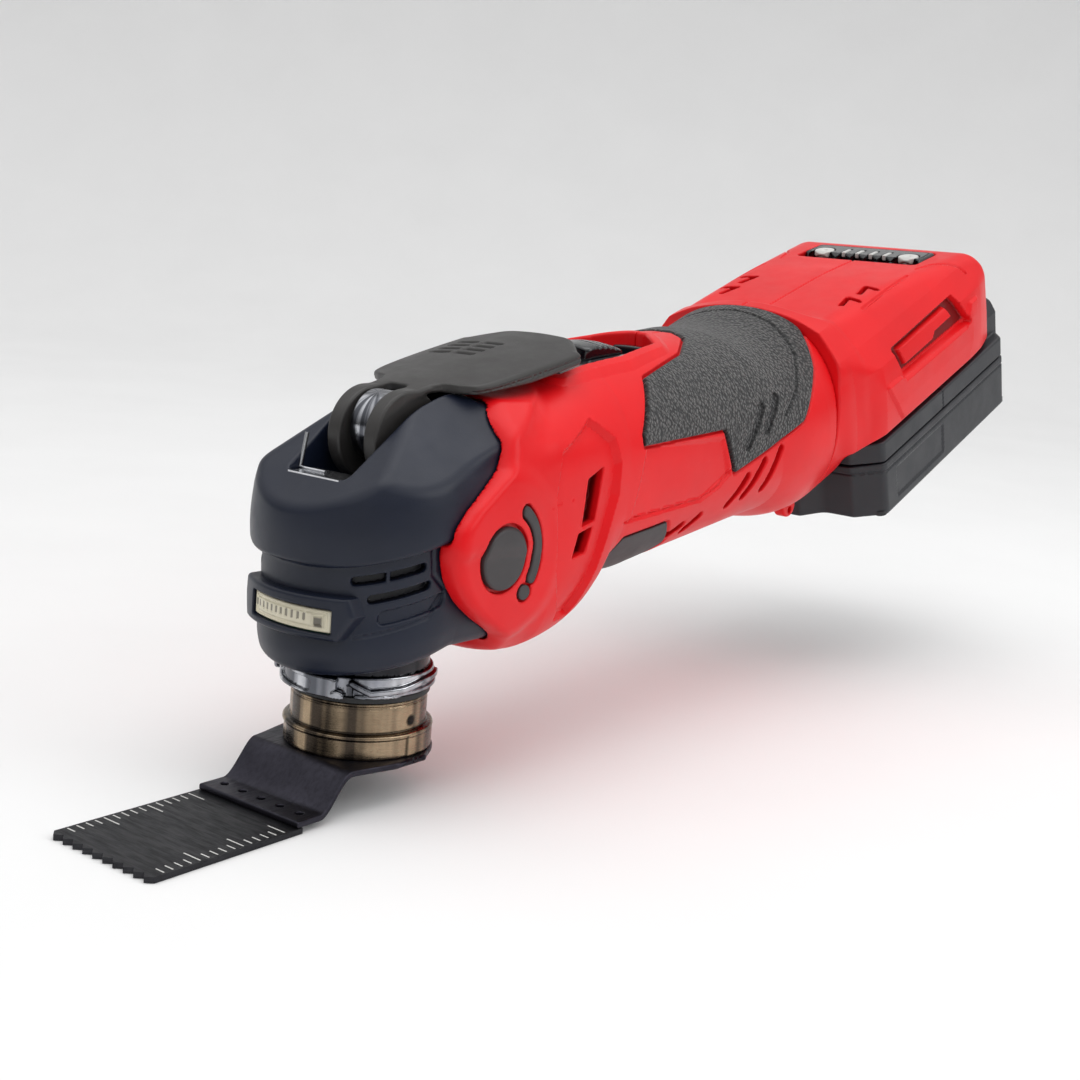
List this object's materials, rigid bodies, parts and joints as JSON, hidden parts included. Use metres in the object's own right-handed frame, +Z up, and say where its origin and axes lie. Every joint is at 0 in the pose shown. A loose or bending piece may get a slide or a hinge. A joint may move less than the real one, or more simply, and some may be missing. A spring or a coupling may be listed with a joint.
{
  "type": "oscillating multi tool",
  "caption": "Cordless oscillating multi tool with a plunge saw blade, tool-free clamp lever, slide switch, status panel and slide-on battery.",
  "frame": {"origin": "on the spindle axis, at the top face of the blade's mounting plate", "axes": "+Z up the spindle axis into the head, +X rearwards to the battery, the blade points to -X"},
  "size_m": [0.3581, 0.0778, 0.1364],
  "materials": {
    "cast_alloy": "die cast, matt",
    "bearing_steel": "ground",
    "black_rubber": "matt",
    "navy_plastic": "fine satin moulding, dark navy",
    "spring_steel": "bright",
    "lens": "clear cover over warm white light",
    "circuit_board": "solder mask",
    "ferrite": "sintered",
    "black_plastic": "moulded",
    "grip_rubber": "pebbled soft grip",
    "red_plastic": "satin gloss moulding",
    "screw_steel": "black oxide",
    "grey_rubber": "smooth soft insert",
    "wire_cover": "silicone wire",
    "panel_black": "gloss",
    "light_bar": "translucent white",
    "contact_copper": "tinned copper",
    "bronze": "satin bronze coloured steel",
    "clamp_steel": "polished folded steel",
    "blade_coating": "black oxide coated steel",
    "blade_steel": "dark coated saw steel",
    "rotor_steel": "laminations",
    "lever_plastic": "warm dark grey satin",
    "black_gloss": "piano black",
    "silver_button": "pearl silver",
    "pack_plastic": "fine texture moulding",
    "pack_grey": "moulded",
    "cell_wrap": "shrink sleeve"
  },
  "bodies": {
    "root": {"gear_case": "cast_alloy", "spindle_bearings": "bearing_steel", "dust_seal": "black_rubber", "head_cover": "navy_plastic", "lever_catch": "spring_steel", "lever_pin": "bearing_steel", "light_bezel": "navy_plastic", "light_lens": "lens", "light_board": "circuit_board", "motor_can": "spring_steel", "motor_magnets": "ferrite", "brush_gear": "black_plastic", "motor_bearings": "bearing_steel", "grip_overmould": "grip_rubber", "belly_pad": "grip_rubber", "housing_left": "red_plastic", "housing_right": "red_plastic", "case_screws": "screw_steel", "ear_caps": "grey_rubber", "ear_marks": "grey_rubber", "switch_frame": "black_plastic", "switch_module": "black_plastic", "control_board": "circuit_board", "motor_leads": "wire_cover", "rear_housing": "red_plastic", "panel_frame": "panel_black", "light_bars": "light_bar", "panel_board": "circuit_board", "battery_rails": "black_plastic", "terminal_block": "black_plastic", "contact_blades": "contact_copper", "lanyard_lug": "red_plastic"},
    "output": {"spindle": "bearing_steel", "retaining_rings": "spring_steel", "fork": "cast_alloy", "blade_hub": "bronze", "hub_washer": "black_rubber", "clamp_collar": "clamp_steel", "blade_plate": "blade_coating", "blade_strip": "blade_steel", "clamp_spring": "spring_steel"},
    "plunger": {"clamp_plunger": "bearing_steel", "clamp_claws": "bearing_steel"},
    "rotor": {"rotor_core": "rotor_steel", "rotor_shaft": "bearing_steel", "commutator": "contact_copper", "cooling_fan": "black_plastic", "eccentric_bush": "bearing_steel", "eccentric_bearing": "bearing_steel"},
    "lever": {"lever": "lever_plastic", "lever_cam": "clamp_steel"},
    "switch": {"switch_slider": "black_gloss"},
    "button_left": {"panel_button_left": "silver_button"},
    "button_right": {"panel_button_right": "silver_button"},
    "battery": {"battery_lower_case": "pack_plastic", "battery_upper_case": "pack_plastic", "battery_cells": "cell_wrap", "cell_board": "circuit_board", "battery_screws": "screw_steel"},
    "latch": {"battery_latch": "pack_grey"}
  },
  "joints": [
    {"name": "blade_oscillation", "type": "hinge", "parent": "root", "child": "output", "pos_m": [0, 0, 0], "axis": [0, 0, 1], "range_deg": [-2, 2]},
    {"name": "motor_spin", "type": "hinge", "parent": "root", "child": "rotor", "pos_m": [0.05, 0, 0.0535], "axis": [1, 0, 0], "continuous": true},
    {"name": "lever_swing", "type": "hinge", "parent": "root", "child": "lever", "pos_m": [0.003, 0, 0.0715], "axis": [0, -1, 0], "range_deg": [0, 120]},
    {"name": "clamp_stroke", "type": "slide", "parent": "output", "child": "plunger", "axis": [0, 0, -1], "range_m": [0, 0.003], "deforming": ["clamp_spring"]},
    {"name": "power_switch", "type": "slide", "parent": "root", "child": "switch", "axis": [1, 0, 0], "range_m": [0, 0.008]},
    {"name": "left_button_press", "type": "slide", "parent": "root", "child": "button_left", "axis": [0.2487, 0, -0.9686], "range_m": [0, 0.0008], "stiffness_N_per_m": 400},
    {"name": "right_button_press", "type": "slide", "parent": "root", "child": "button_right", "axis": [0.2487, 0, -0.9686], "range_m": [0, 0.0008], "stiffness_N_per_m": 400},
    {"name": "battery_slide", "type": "slide", "parent": "root", "child": "battery", "axis": [0.9311, 0, 0.3649], "range_m": [0, 0.085]},
    {"name": "latch_press", "type": "slide", "parent": "battery", "child": "latch", "axis": [0.3649, 0, -0.9311], "range_m": [0, 0.003], "stiffness_N_per_m": 600}
  ],
  "couplings": [
    {"joint": "clamp_stroke", "follows": "lever_swing", "m_per_rad": 0.001432}
  ]
}
